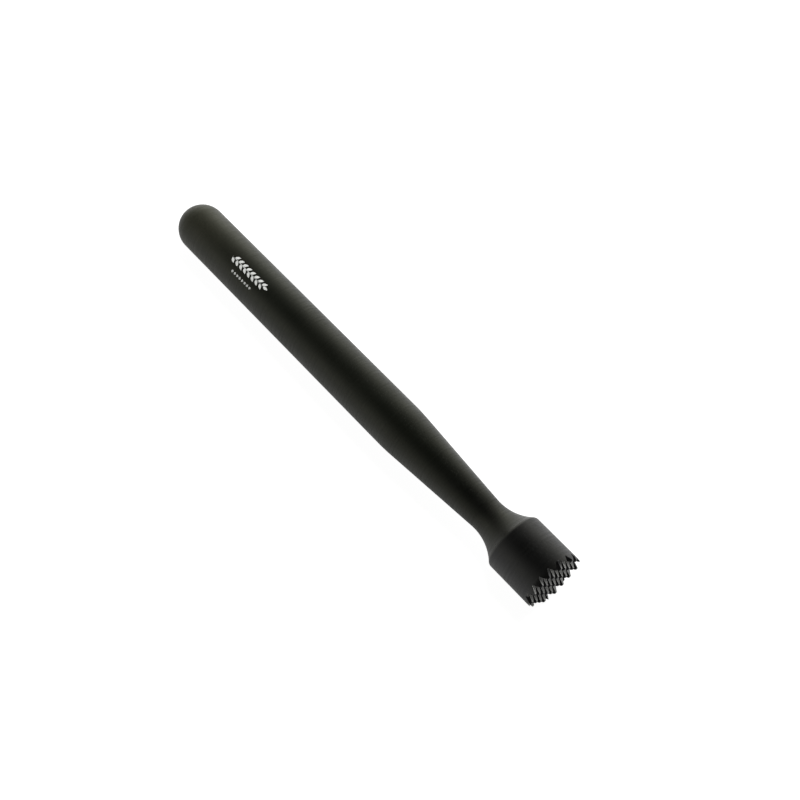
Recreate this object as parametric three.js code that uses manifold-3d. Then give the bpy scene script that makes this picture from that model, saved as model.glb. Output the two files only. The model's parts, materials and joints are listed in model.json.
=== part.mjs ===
// A bar muddler: a long turned handle with a domed butt, and a toothed head that a hidden stud joins to it.
// Millimetres, +Z up. It lies on its side with the teeth towards +X, resting on the head's shoulder
// and on the far end of the handle, and its origin is at the centre of its base.
//
// Each piece is first turned about the Y axis of its own frame, where "along" is the distance
// back from the plane of the tooth tips, and the last group lays the finished muddler down.

import * as THREE from "three";
import { mergeVertices } from "three/addons/utils/BufferGeometryUtils.js";
import Module from "manifold-3d";

const wasm = await Module();
wasm.setup();

const { degToRad } = THREE.MathUtils;

// Outside shape. Lengths are measured along the axis from the tooth tips.
const overallLength = 304.8;
const handleRadius = 13.9;
const taperStart = 115;
const taperAngle = degToRad(4.1);
const flareRadius = 29;
const headRadius = 16.7;
const headLength = 29.9;

// Teeth: two families of V grooves that cross at right angles on the end of the head. Each family
// starts at its own offset from the axis, counted in pitches, so the grid isn't centred.
const toothPitch = 5.5;
const toothTipWidth = 1.2;
const grooveDepth = 3.9;
const grooveRootWidth = 0.3;
const grooveOverrun = 1;
const gridTurn = degToRad(36.4);
const groovesPerFamily = 7;
const grooveFamilies = [
  { turn: gridTurn, firstOffset: -2.75 },
  { turn: gridTurn + Math.PI / 2, firstOffset: -2.825 },
];

// Joint: an M8 stud in blind holes that end in a drill point, and a spigot that centres the handle.
const clearance = 0.3;
const studRadius = 4;
const studChamfer = 1;
const studDepthInHead = 18;
const studDepthInHandle = 30;
const spigotRadius = 11;
const spigotLength = 2.5;
const drillPointAngle = degToRad(31);

// Facets. One flat of every turned piece faces straight down, so that the muddler doesn't roll.
const sides = 32;
const arcSteps = 5;

const blackPlastic = { color: 0x1b1b19, roughness: 0.5, metalness: 0 };
const plainSteel = { color: 0x9a9c9f, roughness: 0.35, metalness: 1 };

// A solid of revolution about Y from an outline of (radius, along). The facets lie outside the true circle.
function turned(outline) {
  const toCorner = 1 / Math.cos(Math.PI / sides);
  const points = outline.getPoints(arcSteps).map((p) => new THREE.Vector2(p.x * toCorner, p.y));
  return new THREE.LatheGeometry(points, sides, Math.PI / sides);
}

function solidOf(geometry) {
  const bare = geometry.clone();
  bare.deleteAttribute("normal");
  bare.deleteAttribute("uv");
  const merged = mergeVertices(bare);
  return new wasm.Manifold(
    new wasm.Mesh({
      numProp: 3,
      vertProperties: merged.attributes.position.array,
      triVerts: new Uint32Array(merged.index.array),
    }),
  );
}

function geometryOf(solid) {
  const mesh = solid.getMesh();
  const geometry = new THREE.BufferGeometry();
  geometry.setAttribute("position", new THREE.BufferAttribute(mesh.vertProperties, 3));
  geometry.setIndex(new THREE.BufferAttribute(mesh.triVerts, 1));
  geometry.computeVertexNormals();
  return geometry;
}

function named(name, geometry, look) {
  const mesh = new THREE.Mesh(geometry, new THREE.MeshStandardMaterial(look));
  mesh.name = name;
  return mesh;
}

// The depth that the point of a drill adds to a hole of this radius.
function drillPoint(radius) {
  return radius * Math.tan(drillPointAngle);
}

// The arc that leaves the tapered shank smoothly and ends at the head's shoulder:
// its centre is one flare radius from the shank's side and one from the shoulder.
function flareArc(shoulder) {
  const towardsHead = new THREE.Vector2(-Math.sin(taperAngle), -Math.cos(taperAngle));
  const outwards = new THREE.Vector2(Math.cos(taperAngle), -Math.sin(taperAngle));
  const start = new THREE.Vector2(handleRadius, taperStart).addScaledVector(outwards, flareRadius);
  const gap = start.clone().sub(shoulder);
  const back = gap.dot(towardsHead);
  const run = -back - Math.sqrt(back ** 2 - gap.lengthSq() + flareRadius ** 2);
  const centre = start.addScaledVector(towardsHead, run);
  return {
    centre,
    shoulderAngle: shoulder.clone().sub(centre).angle(),
    shankAngle: Math.PI - taperAngle,
  };
}

function makeHandle() {
  const boreRadius = studRadius + clearance;
  const boreEnd = headLength + studDepthInHandle;
  const shoulder = new THREE.Vector2(headRadius, headLength + clearance);
  const spigotEnd = shoulder.y - spigotLength;
  const domeStart = overallLength - handleRadius;
  const flare = flareArc(shoulder);

  const outline = new THREE.Path();
  outline.moveTo(0, boreEnd + drillPoint(boreRadius));
  outline.lineTo(boreRadius, boreEnd);
  outline.lineTo(boreRadius, spigotEnd);
  outline.lineTo(spigotRadius, spigotEnd);
  outline.lineTo(spigotRadius, shoulder.y);
  outline.lineTo(shoulder.x, shoulder.y);
  outline.absarc(
    flare.centre.x, flare.centre.y, flareRadius, flare.shoulderAngle, flare.shankAngle, true,
  );
  outline.lineTo(handleRadius, taperStart);
  outline.lineTo(handleRadius, domeStart);
  outline.absarc(0, domeStart, handleRadius, 0, Math.PI / 2, false);
  return named("handle", turned(outline), blackPlastic);
}

// One long V groove across the end of the head, its narrow root pointing back along Y.
function groove(turn, offset) {
  const topHalfWidth = (toothPitch - toothTipWidth) / 2;
  const rootHalfWidth = grooveRootWidth / 2;
  const flankSlope = (topHalfWidth - rootHalfWidth) / grooveDepth;
  const outerHalfWidth = topHalfWidth + grooveOverrun * flankSlope;
  const section = new THREE.Shape();
  section.moveTo(-outerHalfWidth, -grooveOverrun);
  section.lineTo(outerHalfWidth, -grooveOverrun);
  section.lineTo(rootHalfWidth, grooveDepth);
  section.lineTo(-rootHalfWidth, grooveDepth);
  section.closePath();
  const length = 2 * (headRadius + grooveOverrun);
  const geometry = new THREE.ExtrudeGeometry(section, { depth: length, bevelEnabled: false });
  geometry.translate(offset * toothPitch, 0, -length / 2);
  geometry.rotateY(-turn);
  return solidOf(geometry);
}

function makeHead() {
  const boreRadius = studRadius + clearance;
  const boreEnd = headLength - studDepthInHead;
  const recessRadius = spigotRadius + clearance;
  const recessEnd = headLength - spigotLength;

  const outline = new THREE.Path();
  outline.moveTo(0, 0);
  outline.lineTo(headRadius, 0);
  outline.lineTo(headRadius, headLength);
  outline.lineTo(recessRadius, headLength);
  outline.lineTo(recessRadius, recessEnd);
  outline.lineTo(boreRadius, recessEnd);
  outline.lineTo(boreRadius, boreEnd);
  outline.lineTo(0, boreEnd - drillPoint(boreRadius));

  let head = solidOf(turned(outline));
  for (const { turn, firstOffset } of grooveFamilies) {
    for (let count = 0; count < groovesPerFamily; count += 1) {
      head = head.subtract(groove(turn, firstOffset + count));
    }
  }
  return named("toothed_head", geometryOf(head), blackPlastic);
}

function makeStud() {
  const headEnd = headLength - studDepthInHead + clearance;
  const handleEnd = headLength + studDepthInHandle - clearance;
  const endRadius = studRadius - studChamfer;
  const outline = new THREE.Path();
  outline.moveTo(0, headEnd);
  outline.lineTo(endRadius, headEnd);
  outline.lineTo(studRadius, headEnd + studChamfer);
  outline.lineTo(studRadius, handleEnd - studChamfer);
  outline.lineTo(endRadius, handleEnd);
  outline.lineTo(0, handleEnd);
  return named("joining_stud", turned(outline), plainSteel);
}

// Lays the muddler down, teeth towards +X, tilted so that the shoulder and the end of the handle
// touch one level surface, then centres its base on the origin.
function layDown(pieces) {
  const lengthwise = new THREE.Group();
  lengthwise.rotation.z = Math.PI / 2;
  lengthwise.add(...pieces);

  const muddler = new THREE.Group();
  const restSpan = overallLength - handleRadius - headLength;
  muddler.rotation.y = -Math.atan((headRadius - handleRadius) / restSpan);
  muddler.add(lengthwise);

  const box = new THREE.Box3().setFromObject(muddler, true);
  const centre = box.getCenter(new THREE.Vector3());
  muddler.position.set(-centre.x, -centre.y, -box.min.z);
  return muddler;
}

export default layDown([makeHandle(), makeHead(), makeStud()]);
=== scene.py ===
# A black bar muddler lying on a pale studio floor. Metres, +Z up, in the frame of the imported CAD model.
#
# Every piece is made in the turning frame: x runs back from the tooth tips along the axis, y towards
# the front side (world -Y) and z up. The piece's object then carries the mesh to its place.

import json
import math

import bmesh
import bpy
from mathutils import Matrix, Vector


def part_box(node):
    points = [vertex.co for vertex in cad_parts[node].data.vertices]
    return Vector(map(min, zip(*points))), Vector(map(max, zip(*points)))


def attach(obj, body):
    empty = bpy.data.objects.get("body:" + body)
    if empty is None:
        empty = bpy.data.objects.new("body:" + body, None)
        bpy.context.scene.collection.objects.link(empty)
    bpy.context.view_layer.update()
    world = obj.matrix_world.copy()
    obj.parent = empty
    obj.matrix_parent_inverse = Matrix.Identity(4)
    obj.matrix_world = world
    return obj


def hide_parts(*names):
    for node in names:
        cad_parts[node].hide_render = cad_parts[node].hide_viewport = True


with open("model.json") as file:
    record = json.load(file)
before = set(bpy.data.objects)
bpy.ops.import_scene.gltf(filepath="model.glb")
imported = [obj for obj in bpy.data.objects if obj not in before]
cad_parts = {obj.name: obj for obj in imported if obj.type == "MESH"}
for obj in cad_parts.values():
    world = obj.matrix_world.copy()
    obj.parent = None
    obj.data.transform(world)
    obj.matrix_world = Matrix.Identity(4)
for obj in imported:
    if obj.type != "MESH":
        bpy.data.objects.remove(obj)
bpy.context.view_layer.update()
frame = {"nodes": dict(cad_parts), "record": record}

# Handle and head, outside.
HANDLE_RADIUS = 0.0139
TAPER_START = 0.115
TAPER_ANGLE = math.radians(4.1)
TAPER_BLEND = 0.12
FLARE_RADIUS = 0.029
SHOULDER_ROUNDING = 0.0025

# Joint between handle and head. The seam is the fine gap that shows at the shoulder.
SEAM = 0.00002
CLEARANCE = 0.0003
BORE_RADIUS = 0.0043
BORE_IN_HEAD = 0.018
BORE_IN_HANDLE = 0.030
SPIGOT_RADIUS = 0.011
SPIGOT_LENGTH = 0.0025
SPIGOT_ROUNDING = 0.0004
DRILL_POINT_ANGLE = math.radians(31)

# Teeth: a square grid of blunt pyramids, turned about the axis. In each direction of the grid, the
# tooth nearest the axis lies a share of the pitch away from it.
TOOTH_PITCH = 0.0055
TOOTH_SHIFTS = (0.25, -0.325)
TOOTH_TIP_WIDTH = 0.0012
GROOVE_DEPTH = 0.0039
GROOVE_ROOT_WIDTH = 0.0003
TIP_ROUNDING = 0.00035
ROOT_ROUNDING = 0.00015
GRID_TURN = math.radians(53.6)
GROOVES_EACH_WAY = 5

# M8 thread. Its flank runs between two distances from the middle of the crest, in pitches.
THREAD_RADIUS = 0.004
THREAD_PITCH = 0.00125
THREAD_DEPTH = 0.00068
THREAD_FLANK_START = 0.06
THREAD_FLANK_END = 0.46
STUD_CHAMFER = 0.001

# Printed sprig: pairs of leaves along a stem with one more at its end, and a row of dots below it. The
# first pair's middle and its two leaves' offsets from it are shares of the spacing of the pairs.
INK_THICKNESS = 0.00004
INK_SINK = 0.00001
SPRIG_MIDDLE = 0.2394
SPRIG_LENGTH = 0.0310
SPRIG_ANGLE = math.radians(74)
DOTS_MIDDLE = 0.2410
DOTS_LENGTH = 0.0155
DOTS_ANGLE = math.radians(49)
STEM_WIDTH = 0.00035
LEAF_PAIRS = 8
LEAF_LENGTH = 0.0034
LEAF_WIDTH = 0.0016
LEAF_LEAN = math.radians(36)
FIRST_PAIR = 0.35
LEAF_OFFSET = 0.2
DOT_COUNT = 8
DOT_LENGTH = 0.0015
DOT_WIDTH = 0.0016

# Camera, fitted to the muddler's outline in the photograph. Its azimuth goes from the front (-Y)
# towards +X.
CAMERA_AZIMUTH = math.radians(49.48)
CAMERA_ELEVATION = math.radians(59.14)
CAMERA_DISTANCE = 0.7353
LOOK_AT = Vector((0.0231, 0.0104, 0.0169))
FOCAL_LENGTH_MM = 62.6
SENSOR_MM = 36

# Studio. Each glow has an azimuth from +X towards +Y and an elevation in degrees, given, and a
# brightness where white paper is 1, fitted to the shading in the photograph. The floor glows less in
# front of the muddler than behind it, with a change that reaches a short way to both sides of the
# middle, and the camera sees it nearly white.
STUDIO_GLOWS = ((105, 3, 0.76), (140, 3, 1.3), (235, 3, 0.75))
GLOW_SHARPNESS = 6
GLOW_COLOUR = (1, 1, 0.93, 1)
LAMP_PLACE = Vector((-0.05, 0.45, 0.75))
LAMP_SIZE = 0.6
LAMP_WATTS = 9
FLOOR_HALF_WIDTH = 20
FLOOR_COLOUR = (0.25, 0.25, 0.25, 1)
FLOOR_GLOW_FRONT = 0.40
FLOOR_GLOW_BACK = 0.80
FLOOR_GLOW_SEEN = 0.97
FLOOR_GLOW_CHANGE = 0.01

# Plastic: its colours, the sizes of its marks, and its roughness, which the marks raise and lower.
NEUTRAL_BLACK = (0.0008, 0.0008, 0.0008, 1)
NEUTRAL_BLOOM = (0.0022, 0.0022, 0.0022, 1)
OLIVE_BLACK = (0.0024, 0.0029, 0.0020, 1)
OLIVE_BLOOM = (0.0038, 0.0045, 0.0031, 1)
CLOUD_SIZE = 0.016
GRAIN_SIZE = 0.0009
RING_SIZE = 0.0012
GRAIN_DEPTH = 0.00004
LEAST_ROUGHNESS = 0.38
MOST_ROUGHNESS = 0.46
RING_ROUGHNESS = 0.05
GRAIN_ROUGHNESS = 0.04

# Places on the plastic. The painted light on the butt starts at its distance from the tooth tips, and the
# flare has a roughness of its own over its length. The teeth's flanks have a share of grey, a painted
# highlight, which is full near their edges. The painted highlight is left off in a ring along the head's
# side, on one side of the axis, and comes back inwards and towards the other side. All of these follow the
# brightness in the photograph, and that wear or cutting caused it is a guess.
BUTT_LIGHT_START = 0.19
FLARE_LENGTH = 0.022
FLANK_HIGHLIGHT = 0.3
FLANK_EDGE_WIDTH = 0.0006
UNLIT_RING_WIDTH = 0.0017
UNLIT_FADE_END = 0.0040
UNLIT_SIDE_FADE = 0.002

# Colours of the floor's glow, the stud and the print.
WHITE = (1, 1, 1, 1)
DARK_STEEL = (0.50, 0.51, 0.53, 1)
PALE_STEEL = (0.66, 0.66, 0.64, 1)
DARKER_INK = (0.68, 0.69, 0.67, 1)
PALER_INK = (0.78, 0.79, 0.77, 1)

# Most of a noise texture's values lie between these two.
NOISE_LOW = 0.3
NOISE_HIGH = 0.7

# Mesh fineness. Patches of ink have steps along and across. The shoulder's rounding takes the
# place of the flare's first points.
SEGMENTS = 192
ARC_STEPS = 4
FLARE_STEPS = 36
ROUNDED_FLARE_POINTS = 2
DOME_STEPS = 48
STUD_SEGMENTS = 48
STUD_STEPS_PER_TURN = 14
STEM_STEPS = (40, 1)
LEAF_STEPS = (16, 4)
DOT_STEPS = (8, 2)
SHARP_ANGLE = math.radians(32)
SAME_DEPTH = 1e-7


def turning_frame():
    """The matrix from the turning frame to the world, by the tooth-tip mount and the stud's middle."""
    mounts = frame["record"]["mounts"]
    tip = next(mount for mount in mounts if mount["name"] == "tooth_tip")
    forward = Vector(tip["axis"]).normalized()
    low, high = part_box("joining_stud")
    middle = (low + high) / 2
    tips = middle + forward * (Vector(tip["pos_m"]) - middle).dot(forward)
    back = -forward
    front = Vector((0, -1, 0))
    matrix = Matrix((back, front, back.cross(front))).transposed().to_4x4()
    matrix.translation = tips
    return matrix


TURNING = turning_frame()


def reach(node):
    """How far back from the tooth tips a CAD node starts and ends."""
    to_turning = TURNING.inverted()
    backs = [(to_turning @ vertex.co).x for vertex in frame["nodes"][node].data.vertices]
    return min(backs), max(backs)


OVERALL_LENGTH = reach("handle")[1]
HEAD_LENGTH = reach("toothed_head")[1]
HEAD_RADIUS = (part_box("toothed_head")[1].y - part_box("toothed_head")[0].y) / 2
SHOULDER = Vector((HEAD_LENGTH, HEAD_RADIUS))
STUD_START, STUD_END = reach("joining_stud")


# Meshes


def mesh_from(work, name):
    """The mesh of finished work, with its faces pointing out."""
    bmesh.ops.recalc_face_normals(work, faces=work.faces)
    mesh = bpy.data.meshes.new(name)
    work.to_mesh(mesh)
    work.free()
    return mesh


def piece_from(mesh, material):
    """A piece with a mesh and its name, smooth between its sharp edges, in its place on the root body."""
    mesh.shade_smooth()
    mesh.set_sharp_from_angle(angle=SHARP_ANGLE)
    mesh.materials.append(material)
    piece = bpy.data.objects.new(mesh.name, mesh)
    bpy.context.scene.collection.objects.link(piece)
    piece.matrix_world = TURNING
    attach(piece, "root")
    return piece


def around(back, radius, angle):
    """The point at a distance back, a radius from the axis, and an angle from the front side upwards."""
    return back, radius * math.cos(angle), radius * math.sin(angle)


def add_strip(work, here, there):
    """The faces between two rows of vertices."""
    for corners in zip(here, there, there[1:], here[1:]):
        work.faces.new(corners)


def add_band(work, here, there):
    """The faces between two rings of vertices, all the way round."""
    add_strip(work, [*here, here[0]], [*there, there[0]])


def rim_of(rows):
    """The ring of vertices round the edge of a grid."""
    ends = [row[-1] for row in rows[:-1]]
    starts = [row[0] for row in rows[:0:-1]]
    return rows[0][:-1] + ends + rows[-1][:0:-1] + starts


def rounded(before, corner, after, radius):
    """The arc that rounds a corner of an outline, as points from the first side to the second."""
    first = (before - corner).normalized()
    second = (after - corner).normalized()
    half = first.angle(second) / 2
    centre = corner + (first + second).normalized() * radius / math.sin(half)
    start = (corner + first * radius / math.tan(half) - centre).normalized()
    end = (corner + second * radius / math.tan(half) - centre).normalized()
    return [centre + start.slerp(end, step / ARC_STEPS) * radius for step in range(ARC_STEPS + 1)]


def arc(centre, radius, start, end, count):
    """Points of an arc, from one angle to another."""
    angles = [start + (end - start) * step / count for step in range(count + 1)]
    return [centre + radius * Vector((math.cos(angle), math.sin(angle))) for angle in angles]


def turned(name, outline):
    """A solid of revolution about x, from an outline of (back, radius) that starts and ends on the axis."""
    work = bmesh.new()
    angles = [2 * math.pi * side / SEGMENTS for side in range(SEGMENTS)]
    first = work.verts.new((outline[0].x, 0, 0))
    rings = [
        [work.verts.new(around(back, radius, angle)) for angle in angles]
        for back, radius in outline[1:-1]
    ]
    last = work.verts.new((outline[-1].x, 0, 0))
    for here, there in zip(rings, rings[1:]):
        add_band(work, here, there)
    for pole, ring in ((first, rings[0]), (last, rings[-1])):
        for here, there in zip(ring, [*ring[1:], ring[0]]):
            work.faces.new((pole, here, there))
    return mesh_from(work, name)


def flare_outline():
    """The concave arc from the shoulder to the tapered shank, which it meets smoothly."""
    toward_head = Vector((-math.cos(TAPER_ANGLE), -math.sin(TAPER_ANGLE)))
    outward = Vector((-math.sin(TAPER_ANGLE), math.cos(TAPER_ANGLE)))
    start = Vector((TAPER_START, HANDLE_RADIUS)) + outward * FLARE_RADIUS
    gap = start - SHOULDER
    back = gap.dot(toward_head)
    run = -back - math.sqrt(back ** 2 - gap.length_squared + FLARE_RADIUS ** 2)
    centre = start + toward_head * run
    to_shoulder = SHOULDER - centre
    shoulder_angle = math.atan2(to_shoulder.y, to_shoulder.x) % (2 * math.pi)
    shank_angle = 3 * math.pi / 2 + TAPER_ANGLE
    return arc(centre, FLARE_RADIUS, shoulder_angle, shank_angle, FLARE_STEPS)


def shoulder_arcs():
    """The arc that rounds the shoulder, from the head's side to the flare, in two parts cut by the seam."""
    on_head = Vector((HEAD_LENGTH / 2, HEAD_RADIUS))
    on_flare = flare_outline()[ROUNDED_FLARE_POINTS]
    points = rounded(on_head, SHOULDER, on_flare, SHOULDER_ROUNDING)
    before = [point for point in points if point.x < HEAD_LENGTH]
    after = [point for point in points if point.x > HEAD_LENGTH]
    share = (HEAD_LENGTH - before[-1].x) / (after[0].x - before[-1].x)
    edge = before[-1].lerp(after[0], share)
    return [*before, edge], [Vector((edge.x + SEAM, edge.y)), *after]


def handle_outline():
    """The handle from the bottom of its bore, round the spigot and the flare, to the domed butt."""
    bore_end = HEAD_LENGTH + BORE_IN_HANDLE
    seam = HEAD_LENGTH + SEAM
    spigot_end = seam - SPIGOT_LENGTH
    spigot_inside = Vector((spigot_end, BORE_RADIUS))
    spigot_corner = Vector((spigot_end, SPIGOT_RADIUS))
    spigot_foot = Vector((seam, SPIGOT_RADIUS))
    flare = flare_outline()
    taper_corner = Vector((TAPER_START, HANDLE_RADIUS))
    dome_start = Vector((OVERALL_LENGTH - HANDLE_RADIUS, HANDLE_RADIUS))
    dome_centre = Vector((dome_start.x, 0))
    return [
        Vector((bore_end + BORE_RADIUS * math.tan(DRILL_POINT_ANGLE), 0)),
        Vector((bore_end, BORE_RADIUS)),
        spigot_inside,
        *rounded(spigot_inside, spigot_corner, spigot_foot, SPIGOT_ROUNDING),
        spigot_foot,
        *shoulder_arcs()[1],
        *flare[ROUNDED_FLARE_POINTS:],
        *rounded(flare[-1], taper_corner, dome_start, TAPER_BLEND),
        *arc(dome_centre, HANDLE_RADIUS, math.pi / 2, 0, DOME_STEPS),
    ]


def head_outline():
    """The head as turned, before its teeth are cut, with the joint's holes. It is a little too long at
    the front, and it has a ring of points just behind the grooves."""
    just_behind = 1.05
    spare_front = Vector((-GROOVE_DEPTH, 0))
    spare_corner = Vector((-GROOVE_DEPTH, HEAD_RADIUS))
    behind_teeth = Vector((GROOVE_DEPTH * just_behind, HEAD_RADIUS))
    recess_mouth = Vector((HEAD_LENGTH, SPIGOT_RADIUS + CLEARANCE))
    recess_corner = Vector((HEAD_LENGTH - SPIGOT_LENGTH, recess_mouth.y))
    bore_end = HEAD_LENGTH - BORE_IN_HEAD
    return [
        spare_front,
        spare_corner,
        behind_teeth,
        *shoulder_arcs()[0],
        recess_mouth,
        recess_corner,
        Vector((recess_corner.x, BORE_RADIUS)),
        Vector((bore_end, BORE_RADIUS)),
        Vector((bore_end - BORE_RADIUS * math.tan(DRILL_POINT_ANGLE), 0)),
    ]


def half_tooth():
    """The teeth's section from a groove's middle to the next tip's middle, as (place, depth) points."""
    root_middle = Vector((0, GROOVE_DEPTH))
    root_edge = Vector((GROOVE_ROOT_WIDTH / 2, GROOVE_DEPTH))
    tip_edge = Vector(((TOOTH_PITCH - TOOTH_TIP_WIDTH) / 2, 0))
    tip_middle = Vector((TOOTH_PITCH / 2, 0))
    return [
        root_middle,
        *rounded(root_middle, root_edge, tip_edge, ROOT_ROUNDING),
        *rounded(root_edge, tip_edge, tip_middle, TIP_ROUNDING),
        tip_middle,
    ]


def tooth_section(shift):
    """The section repeated right across the head, with one tooth at the given number of pitches."""
    half = half_tooth()
    reach_out = HEAD_RADIUS + TOOTH_PITCH / 2
    points = []
    for count in range(-GROOVES_EACH_WAY, GROOVES_EACH_WAY):
        middle = (shift + 0.5 + count) * TOOTH_PITCH
        left = [(middle - point.x, point.y) for point in reversed(half[1:])]
        right = [(middle + point.x, point.y) for point in half[:-1]]
        points += left + right
    return [point for point in points if abs(point[0]) < reach_out]


def toothed_block():
    """A block whose front face has the grid of teeth cut right across it."""
    along, across = (tooth_section(shift) for shift in TOOTH_SHIFTS)
    work = bmesh.new()
    front = [
        [work.verts.new((max(du, dv), *turn(u, v))) for v, dv in across]
        for u, du in along
    ]
    for i in range(len(along) - 1):
        for j in range(len(across) - 1):
            add_cell(work, front, along, across, i, j)
    rim = rim_of(front)
    back = [work.verts.new((HEAD_LENGTH + GROOVE_DEPTH, vertex.co.y, vertex.co.z)) for vertex in rim]
    add_band(work, rim, back)
    work.faces.new(back)
    return mesh_from(work, "toothed_block")


def turn(u, v):
    """A place on the end of the head, from the grid of teeth's directions to y and z."""
    cosine = math.cos(GRID_TURN)
    sine = math.sin(GRID_TURN)
    return u * sine + v * cosine, -u * cosine + v * sine


def alike(depths, others):
    """Whether two lists of depths are the same."""
    return all(abs(depth - other) < SAME_DEPTH for depth, other in zip(depths, others))


def add_cell(work, front, along, across, i, j):
    """One cell of the front face, split along the hip where it lies across the corner of a tooth."""
    corners = [front[i][j], front[i + 1][j], front[i + 1][j + 1], front[i][j + 1]]
    depths_along = [along[i][1], along[i + 1][1]]
    depths_across = [across[j][1], across[j + 1][1]]
    if alike(depths_along, depths_across):
        work.faces.new((corners[0], corners[1], corners[2]))
        work.faces.new((corners[0], corners[2], corners[3]))
    elif alike(depths_along, reversed(depths_across)):
        work.faces.new((corners[0], corners[1], corners[3]))
        work.faces.new((corners[1], corners[2], corners[3]))
    else:
        work.faces.new(corners)


def cut_head():
    """The turned head where it overlaps the toothed block."""
    head = bpy.data.objects.new("head_blank", turned("head_blank", head_outline()))
    block = bpy.data.objects.new("toothed_block", toothed_block())
    for blank in (head, block):
        bpy.context.scene.collection.objects.link(blank)
    cut = head.modifiers.new("teeth", "BOOLEAN")
    cut.operation = "INTERSECT"
    cut.solver = "EXACT"
    cut.object = block
    evaluated = head.evaluated_get(bpy.context.evaluated_depsgraph_get())
    mesh = bpy.data.meshes.new_from_object(evaluated)
    mesh.name = "cut_head"
    for blank in (head, block):
        bpy.data.objects.remove(blank)
    return mesh


def thread_radius(back, turned_by):
    """The stud's radius at a distance back and a share of a turn: a V thread with a cone at each end."""
    from_crest = abs((back / THREAD_PITCH - turned_by) % 1 - 0.5)
    down_flank = (from_crest - THREAD_FLANK_START) / (THREAD_FLANK_END - THREAD_FLANK_START)
    thread = THREAD_RADIUS - THREAD_DEPTH * min(1, max(0, down_flank))
    from_end = min(back - STUD_START, STUD_END - back)
    cone = THREAD_RADIUS - STUD_CHAMFER + from_end
    return min(thread, cone)


def threaded_stud():
    """The threaded stud, with a vertex grid fine enough to follow its thread."""
    length = STUD_END - STUD_START
    stations = round(length / THREAD_PITCH * STUD_STEPS_PER_TURN)
    work = bmesh.new()
    rings = []
    for station in range(stations + 1):
        back = STUD_START + length * station / stations
        ring = []
        for side in range(STUD_SEGMENTS):
            turned_by = side / STUD_SEGMENTS
            radius = thread_radius(back, turned_by)
            ring.append(work.verts.new(around(back, radius, 2 * math.pi * turned_by)))
        rings.append(ring)
    for here, there in zip(rings, rings[1:]):
        add_band(work, here, there)
    work.faces.new(rings[0])
    work.faces.new(rings[-1])
    return mesh_from(work, "threaded_stud")


# Printed motif


def even_steps(count):
    """Evenly spaced numbers from -1 to 1."""
    return [-1 + 2 * step / count for step in range(count + 1)]


def ink_patch(work, middle_back, middle_angle, place, step_counts):
    """One thin closed patch of ink that follows the handle. place turns a step along and a step across,
    each from -1 to 1, into distances along and round the handle from the middle of the print."""
    along_steps, across_steps = (even_steps(count) for count in step_counts)

    def spot(radius, along_step, across_step):
        along, round_handle = place(along_step, across_step)
        return around(middle_back + along, radius, middle_angle + round_handle / HANDLE_RADIUS)

    def layer(radius):
        return [[work.verts.new(spot(radius, i, j)) for j in across_steps] for i in along_steps]

    top = layer(HANDLE_RADIUS + INK_THICKNESS)
    bottom = layer(HANDLE_RADIUS - INK_SINK)
    for rows in (top, bottom):
        for here, there in zip(rows, rows[1:]):
            add_strip(work, here, there)
    add_band(work, rim_of(top), rim_of(bottom))


def leaf_place(base_along, base_round, length, width, lean):
    """The places on a pointed leaf that starts at its base and leans away from the stem."""
    early_bulge = 0.8
    fullness = 0.9
    blunt_end = 0.06

    def place(along_step, across_step):
        share = (along_step + 1) / 2
        bulge = math.sin(math.pi * share ** early_bulge) ** fullness
        half_width = width / 2 * max(bulge, blunt_end)
        forward = share * length
        sideways = half_width * across_step
        return (
            base_along + forward * math.cos(lean) - sideways * math.sin(lean),
            base_round + forward * math.sin(lean) + sideways * math.cos(lean),
        )

    return place


def printed_sprig():
    """A stem along the handle with leaves on both sides in turn, and one at its end."""
    start = SPRIG_LENGTH / 2
    stem_length = SPRIG_LENGTH - LEAF_LENGTH
    spacing = stem_length / LEAF_PAIRS
    work = bmesh.new()
    stem = leaf_place(start, 0, stem_length, STEM_WIDTH, math.pi)
    ink_patch(work, SPRIG_MIDDLE, SPRIG_ANGLE, stem, STEM_STEPS)
    for pair in range(LEAF_PAIRS):
        for side in (-1, 1):
            base = start - spacing * (pair + FIRST_PAIR + LEAF_OFFSET * side)
            lean = math.pi - side * LEAF_LEAN
            leaf = leaf_place(base, side * STEM_WIDTH, LEAF_LENGTH, LEAF_WIDTH, lean)
            ink_patch(work, SPRIG_MIDDLE, SPRIG_ANGLE, leaf, LEAF_STEPS)
    end_leaf = leaf_place(start - stem_length, 0, LEAF_LENGTH, LEAF_WIDTH, math.pi)
    ink_patch(work, SPRIG_MIDDLE, SPRIG_ANGLE, end_leaf, LEAF_STEPS)
    return mesh_from(work, "printed_sprig")


def printed_dots():
    """A row of small lozenges below the sprig."""
    spacing = DOTS_LENGTH / (DOT_COUNT - 1)
    first = (DOTS_LENGTH + DOT_LENGTH) / 2
    work = bmesh.new()
    for dot in range(DOT_COUNT):
        lozenge = leaf_place(first - spacing * dot, 0, DOT_LENGTH, DOT_WIDTH, math.pi)
        ink_patch(work, DOTS_MIDDLE, DOTS_ANGLE, lozenge, DOT_STEPS)
    return mesh_from(work, "printed_dots")


# Materials


def add_node(tree, kind, inputs, **settings):
    """A node with its settings and inputs, where an input is a value or another node's output."""
    node = tree.nodes.new(kind)
    for name, value in settings.items():
        setattr(node, name, value)
    for name, value in inputs.items():
        if isinstance(value, bpy.types.NodeSocket):
            tree.links.new(value, node.inputs[name])
        else:
            node.inputs[name].default_value = value
    return node


def calculate(tree, operation, first, second=0):
    """The outcome of an operation on one or two numbers or outputs."""
    return add_node(tree, "ShaderNodeMath", {0: first, 1: second}, operation=operation).outputs[0]


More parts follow.
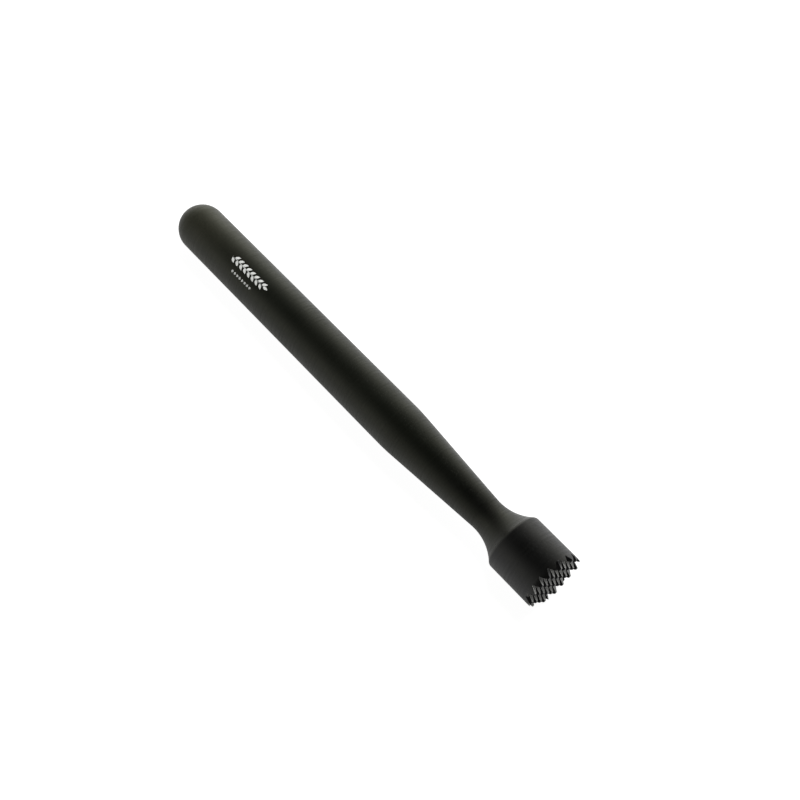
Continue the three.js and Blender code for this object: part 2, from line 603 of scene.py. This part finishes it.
def combined(tree, operation, first, second):
    """The outcome of an operation on two vectors or outputs: a vector, or else a number."""
    node = add_node(tree, "ShaderNodeVectorMath", {0: first, 1: second}, operation=operation)
    return next(output for output in node.outputs if output.enabled)


def product(tree, first, *others):
    """The product of numbers or outputs."""
    for other in others:
        first = calculate(tree, "MULTIPLY", first, other)
    return first


def ranged(tree, value, start, end, at_start, at_end):
    """A number that changes smoothly as a value goes from start to end, and no further."""
    inputs = {"Value": value, "From Min": start, "From Max": end, "To Min": at_start, "To Max": at_end}
    return add_node(tree, "ShaderNodeMapRange", inputs, interpolation_type="SMOOTHSTEP").outputs[0]


def share_of(tree, value, start, end):
    """A share that grows smoothly from 0 to 1 as a value goes from start to end."""
    return ranged(tree, value, start, end, 0, 1)


def noise(tree, place, size, detail):
    """Noise in lumps of the given size."""
    inputs = {"Vector": place, "Scale": 1 / size, "Detail": detail}
    return add_node(tree, "ShaderNodeTexNoise", inputs).outputs["Fac"]


def varied(tree, noise_value, least, most):
    """A number that noise varies between two bounds."""
    return ranged(tree, noise_value, NOISE_LOW, NOISE_HIGH, least, most)


def mixed_colour(tree, share, first, second):
    """A mix of two colours by a share. The Mix node's colours are its inputs 6 and 7."""
    inputs = {0: share, 6: first, 7: second}
    return add_node(tree, "ShaderNodeMix", inputs, data_type="RGBA").outputs[2]


def mixed_number(tree, share, first, second):
    """A mix of two numbers by a share. The Mix node's numbers are its inputs 2 and 3."""
    inputs = {0: share, 2: first, 3: second}
    return add_node(tree, "ShaderNodeMix", inputs, data_type="FLOAT").outputs[0]


def seen_by_camera(tree):
    """1 where the camera looks straight at a surface, and 0 where it lights or is reflected."""
    return add_node(tree, "ShaderNodeLightPath", {}).outputs["Is Camera Ray"]


def new_material(name):
    """A node material, its tree, its shader and the place on the piece in the turning frame."""
    material = bpy.data.materials.new(name)
    material.use_nodes = True
    tree = material.node_tree
    place = tree.nodes.new("ShaderNodeTexCoord").outputs["Object"]
    return material, tree, tree.nodes["Principled BSDF"], place


def part_of(tree, vector, axis):
    """A vector's X, Y or Z. On the muddler, a place's X is its distance back from the tooth tips."""
    return add_node(tree, "ShaderNodeSeparateXYZ", {"Vector": vector}).outputs[axis]


def turning_rings(tree, place, size, detail):
    """Noise that changes only along the axis, as the marks of a lathe tool do."""
    inputs = {"W": part_of(tree, place, "X"), "Scale": 1 / size, "Detail": detail}
    return add_node(tree, "ShaderNodeTexNoise", inputs, noise_dimensions="1D").outputs["Fac"]


def edge_share(tree, radius):
    """1 along sharp edges and 0 on smooth surfaces."""
    softened = add_node(tree, "ShaderNodeBevel", {"Radius": radius}, samples=6).outputs["Normal"]
    plain = add_node(tree, "ShaderNodeNewGeometry", {}).outputs["Normal"]
    likeness = combined(tree, "DOT_PRODUCT", softened, plain)
    return share_of(tree, likeness, start=0.99, end=0.85)


def bumped(tree, height, depth, normal=None):
    """A normal that a height field of the given depth has roughened."""
    inputs = {"Height": height, "Distance": depth, "Strength": 1}
    if normal is not None:
        inputs["Normal"] = normal
    return add_node(tree, "ShaderNodeBump", inputs).outputs["Normal"]


def satin_plastic(name, gloss, gloss_tint, flare_roughness, ring_depth, pale, painted_light_share):
    """Turned black plastic, neutral at the head and a little olive at the grip, with ring marks, fine
    grain and a cloudy sheen. flare_roughness is how much rougher the flare is than the rest at the
    shoulder. The last two arguments give a colour of painted light and what makes its share from the tree,
    the place and the grain."""
    material, tree, shader, place = new_material(name)
    clouds = noise(tree, place, CLOUD_SIZE, detail=3)
    grain = noise(tree, place, GRAIN_SIZE, detail=4)
    rings = turning_rings(tree, place, RING_SIZE, detail=3)
    back = part_of(tree, place, "X")

    grip = share_of(tree, back, HEAD_LENGTH, TAPER_START)
    darker = mixed_colour(tree, grip, NEUTRAL_BLACK, OLIVE_BLACK)
    lighter = mixed_colour(tree, grip, NEUTRAL_BLOOM, OLIVE_BLOOM)
    body = mixed_colour(tree, clouds, darker, lighter)
    colour = mixed_colour(tree, painted_light_share(tree, place, grain), body, pale)
    tree.links.new(colour, shader.inputs["Base Color"])
    shader.inputs["Specular IOR Level"].default_value = gloss
    shader.inputs["Specular Tint"].default_value = gloss_tint

    roughness = varied(tree, clouds, LEAST_ROUGHNESS, MOST_ROUGHNESS)
    for addition in (
        varied(tree, rings, -RING_ROUGHNESS, RING_ROUGHNESS),
        varied(tree, grain, -GRAIN_ROUGHNESS, GRAIN_ROUGHNESS),
        ranged(tree, back, HEAD_LENGTH + FLARE_LENGTH, HEAD_LENGTH, 0, flare_roughness),
    ):
        roughness = calculate(tree, "ADD", roughness, addition)
    tree.links.new(roughness, shader.inputs["Roughness"])
    turned_marks = bumped(tree, rings, ring_depth)
    tree.links.new(bumped(tree, grain, GRAIN_DEPTH, turned_marks), shader.inputs["Normal"])
    return material


def painted_butt_light(tree, place, grain):
    """The butt end, paler: painted light where the butt is brighter."""
    towards_butt = share_of(tree, part_of(tree, place, "X"), BUTT_LIGHT_START, OVERALL_LENGTH)
    return product(tree, towards_butt, towards_butt, varied(tree, grain, least=0.8, most=1.2))


def painted_teeth_highlight(tree, place, grain):
    """The flanks across one direction of the grid, grey as a painted highlight and palest along their
    edges, with the painted highlight left off the outer ones on one side. A cutter's first pass and a
    glass that rubs are guesses at the reason."""
    normal = tree.nodes.new("ShaderNodeTexCoord").outputs["Normal"]
    highlit_direction = (0, math.sin(GRID_TURN), -math.cos(GRID_TURN))
    facing = calculate(tree, "ABSOLUTE", combined(tree, "DOT_PRODUCT", normal, highlit_direction))
    facing_highlit_direction = share_of(tree, facing, start=0.7, end=0.85)
    towards_tips = share_of(tree, part_of(tree, normal, "X"), start=-0.2, end=-0.4)

    from_middle = combined(tree, "DOT_PRODUCT", place, highlit_direction)
    other_side = share_of(tree, from_middle, -UNLIT_SIDE_FADE, UNLIT_SIDE_FADE)
    on_end = combined(tree, "MULTIPLY", place, (0, 1, 1))
    from_axis = combined(tree, "DISTANCE", on_end, (0, 0, 0))
    inner = share_of(tree, from_axis, HEAD_RADIUS - UNLIT_RING_WIDTH, HEAD_RADIUS - UNLIT_FADE_END)
    highlit_area = calculate(tree, "MAXIMUM", other_side, inner)

    edges = edge_share(tree, FLANK_EDGE_WIDTH)
    highlight_strength = ranged(tree, edges, 0, 1, FLANK_HIGHLIGHT, 1)
    grained = ranged(tree, grain, start=0.35, end=0.6, at_start=0.7, at_end=1)
    return product(tree, facing_highlit_direction, towards_tips, highlit_area, highlight_strength, grained)


def stud_steel():
    """Zinc-plated steel, a little blotchy and finely uneven."""
    material, tree, shader, place = new_material("plated_steel")
    shader.inputs["Metallic"].default_value = 1
    clouds = noise(tree, place, size=0.004, detail=3)
    grain = noise(tree, place, size=0.0002, detail=3)
    tree.links.new(mixed_colour(tree, clouds, DARK_STEEL, PALE_STEEL), shader.inputs["Base Color"])
    tree.links.new(varied(tree, grain, least=0.22, most=0.42), shader.inputs["Roughness"])
    tree.links.new(bumped(tree, grain, depth=0.000003), shader.inputs["Normal"])
    return material


def print_ink():
    """Pad-printed pale ink, slightly uneven."""
    material, tree, shader, place = new_material("print_ink")
    grain = noise(tree, place, size=0.0004, detail=3)
    tree.links.new(mixed_colour(tree, grain, DARKER_INK, PALER_INK), shader.inputs["Base Color"])
    tree.links.new(varied(tree, grain, least=0.45, most=0.6), shader.inputs["Roughness"])
    tree.links.new(bumped(tree, grain, depth=0.000004), shader.inputs["Normal"])
    return material


# Studio


def direction(azimuth, elevation):
    """The unit vector at an azimuth from +X towards +Y and an elevation."""
    level = math.cos(elevation)
    return Vector((level * math.cos(azimuth), level * math.sin(azimuth), math.sin(elevation)))


def add_camera():
    """The camera, at its distance from the point that it looks at."""
    towards = direction(CAMERA_AZIMUTH - math.pi / 2, CAMERA_ELEVATION)
    data = bpy.data.cameras.new("camera")
    data.lens = FOCAL_LENGTH_MM
    data.sensor_width = SENSOR_MM
    camera = bpy.data.objects.new("camera", data)
    camera.location = LOOK_AT + towards * CAMERA_DISTANCE
    camera.rotation_euler = (-towards).to_track_quat("-Z", "Y").to_euler()
    bpy.context.scene.collection.objects.link(camera)
    bpy.context.scene.camera = camera


def add_floor():
    """A pale paper floor that carries on past every view's horizon. It looks lighter than it lights the
    muddler, as paper does in a retouched catalogue picture."""
    half = FLOOR_HALF_WIDTH
    corners = [(-half, -half, 0), (half, -half, 0), (half, half, 0), (-half, half, 0)]
    mesh = bpy.data.meshes.new("floor")
    mesh.from_pydata(corners, [], [(0, 1, 2, 3)])
    material, tree, shader, place = new_material("floor_paper")
    shader.inputs["Base Color"].default_value = FLOOR_COLOUR
    shader.inputs["Roughness"].default_value = 1
    shader.inputs["Specular IOR Level"].default_value = 0
    shader.inputs["Emission Color"].default_value = WHITE
    far = part_of(tree, place, "Y")
    glow = ranged(tree, far, -FLOOR_GLOW_CHANGE, FLOOR_GLOW_CHANGE, FLOOR_GLOW_FRONT, FLOOR_GLOW_BACK)
    strength = mixed_number(tree, seen_by_camera(tree), glow, FLOOR_GLOW_SEEN)
    tree.links.new(strength, shader.inputs["Emission Strength"])
    mesh.materials.append(material)
    floor = bpy.data.objects.new("floor", mesh)
    bpy.context.scene.collection.objects.link(floor)


def add_lamp():
    """A broad soft lamp above and behind, mostly for the print and the floor. No reflection shows it."""
    data = bpy.data.lights.new("lamp", "AREA")
    data.shape = "DISK"
    data.size = LAMP_SIZE
    data.energy = LAMP_WATTS
    lamp = bpy.data.objects.new("lamp", data)
    lamp.location = LAMP_PLACE
    lamp.rotation_euler = (-LAMP_PLACE).to_track_quat("-Z", "Y").to_euler()
    lamp.visible_glossy = False
    bpy.context.scene.collection.objects.link(lamp)


def add_surroundings():
    """A dim studio with soft, faintly warm glows low down round it. The camera sees plain white."""
    world = bpy.data.worlds.new("studio")
    world.use_nodes = True
    bpy.context.scene.world = world
    tree = world.node_tree
    outwards = tree.nodes.new("ShaderNodeTexCoord").outputs["Generated"]
    strength = 0
    for azimuth, elevation, brightness in STUDIO_GLOWS:
        middle = direction(math.radians(azimuth), math.radians(elevation))
        facing = combined(tree, "DOT_PRODUCT", outwards, middle)
        falloff = product(tree, calculate(tree, "SUBTRACT", facing, 1), GLOW_SHARPNESS)
        glow = product(tree, calculate(tree, "EXPONENT", falloff), brightness)
        strength = calculate(tree, "ADD", glow, strength)
    seen = seen_by_camera(tree)
    background = tree.nodes["Background"]
    tree.links.new(mixed_colour(tree, seen, GLOW_COLOUR, WHITE), background.inputs["Color"])
    tree.links.new(mixed_number(tree, seen, strength, 1), background.inputs["Strength"])


add_camera()

handle_plastic = satin_plastic(
    "satin_handle",
    gloss=0.5,
    gloss_tint=(1, 1.02, 0.87, 1),
    flare_roughness=-0.08,
    ring_depth=0.00004,
    # A pale olive painted light on the butt end.
    pale=(0.023, 0.023, 0.016, 1),
    painted_light_share=painted_butt_light,
)
head_plastic = satin_plastic(
    "satin_head",
    gloss=0.63,
    gloss_tint=WHITE,
    flare_roughness=0,
    ring_depth=0.00002,
    # A near-white painted highlight on the teeth's flanks.
    pale=(0.95, 0.95, 0.91, 1),
    painted_light_share=painted_teeth_highlight,
)

handle = piece_from(turned("turned_handle", handle_outline()), handle_plastic)
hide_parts("handle")

head = piece_from(cut_head(), head_plastic)
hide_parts("toothed_head")

stud = piece_from(threaded_stud(), stud_steel())
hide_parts("joining_stud")

ink = print_ink()
piece_from(printed_sprig(), ink)
piece_from(printed_dots(), ink)

add_floor()
add_lamp()
add_surroundings()
bpy.context.scene.view_settings.view_transform = "Standard"
